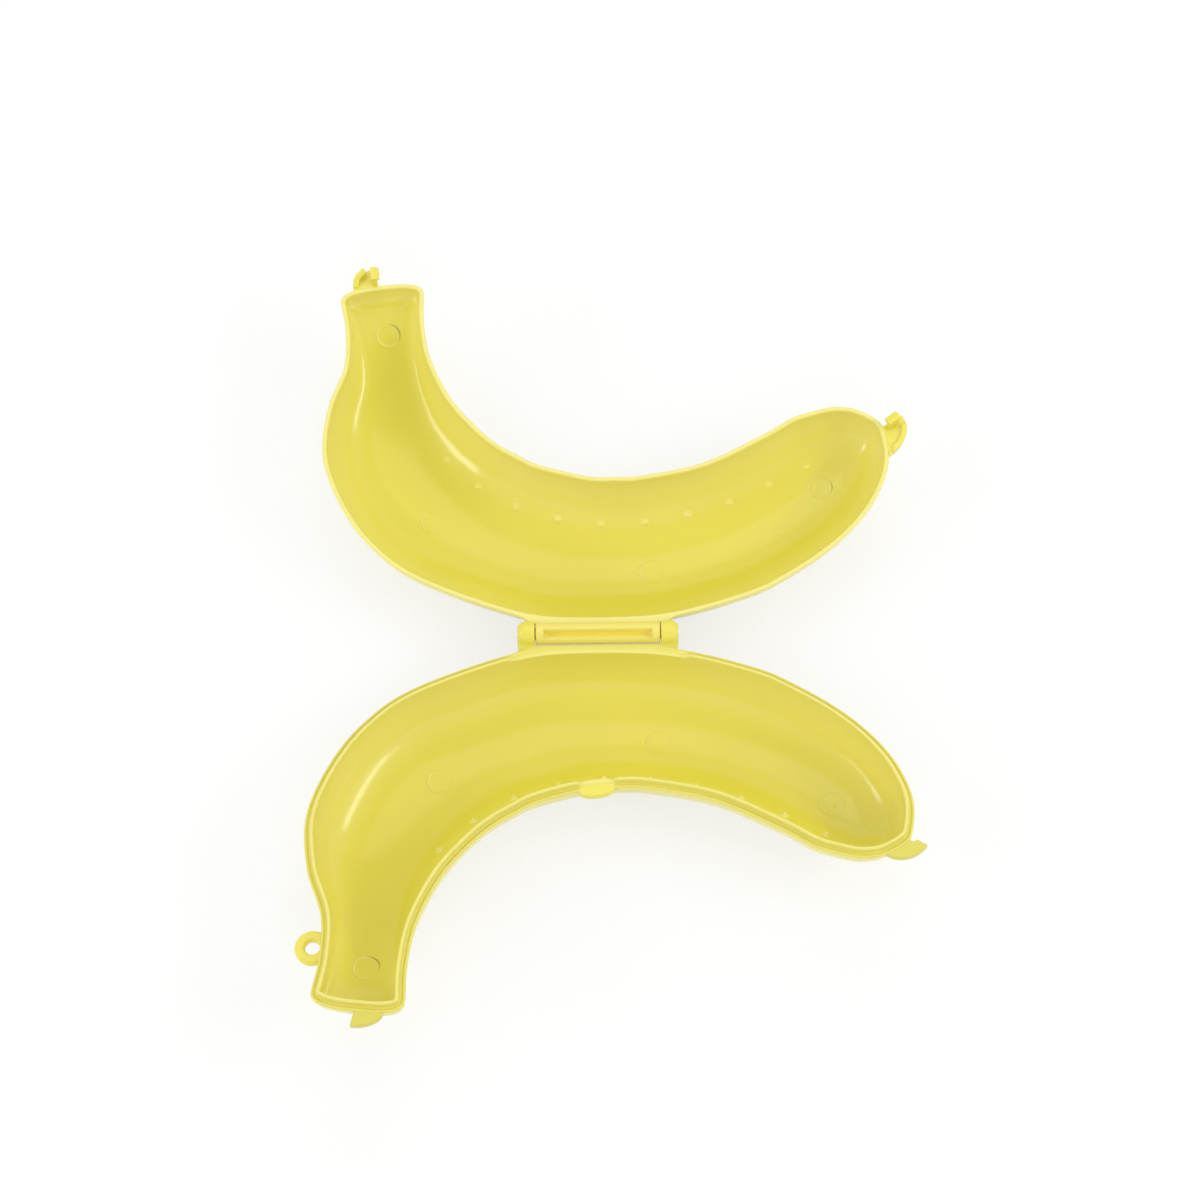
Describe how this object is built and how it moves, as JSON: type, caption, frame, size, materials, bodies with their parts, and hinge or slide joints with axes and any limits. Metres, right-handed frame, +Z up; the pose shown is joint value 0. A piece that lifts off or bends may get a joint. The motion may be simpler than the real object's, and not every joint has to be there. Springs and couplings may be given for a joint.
{
  "type": "banana carrying case",
  "caption": "Curved hard plastic case for one banana: two bowl-shaped halves on a pin hinge, with snap latches at both ends and a ring for a cord.",
  "frame": {"origin": "under the middle of the open case's plan, on the surface that both bellies rest on", "axes": "+X along the hinge axis from the stem end's side to the tip's side, +Y from the base to the lid, +Z up"},
  "size_m": [0.194, 0.2606, 0.0349],
  "materials": {
    "plastic": "smooth moulded polypropylene, soft gloss"
  },
  "bodies": {
    "base": {"base_shell": "plastic", "hinge_ear_left": "plastic", "hinge_ear_right": "plastic", "lanyard_ring": "plastic", "thumb_tab": "plastic", "base_stem_lug": "plastic", "base_tip_lug": "plastic", "base_grip_nubs": "plastic"},
    "lid": {"lid_shell": "plastic", "lid_hinge_barrel": "plastic", "hinge_pin_left": "plastic", "hinge_pin_right": "plastic", "lid_stem_lug": "plastic", "lid_tip_lug": "plastic", "lid_grip_nubs": "plastic"},
    "stem_catch": {"lid_stem_catch": "plastic"},
    "tip_catch": {"lid_tip_catch": "plastic"}
  },
  "joints": [
    {"name": "lid_hinge", "type": "hinge", "parent": "base", "child": "lid", "pos_m": [-0.00555, -0.00081, 0.01942], "axis": [1, 0, 0], "range_deg": [0, 170]},
    {"name": "stem_catch_flex", "type": "hinge", "parent": "lid", "child": "stem_catch", "pos_m": [-0.07971, 0.12404, 0.03055], "axis": [0.1249, -0.9884, -0.0865], "range_deg": [0, 20], "stiffness_Nm_per_rad": 0.05},
    {"name": "tip_catch_flex", "type": "hinge", "parent": "lid", "child": "tip_catch", "pos_m": [0.09054, 0.06942, 0.02577], "axis": [0.7919, 0.6084, 0.0532], "range_deg": [0, 20], "stiffness_Nm_per_rad": 0.05}
  ]
}
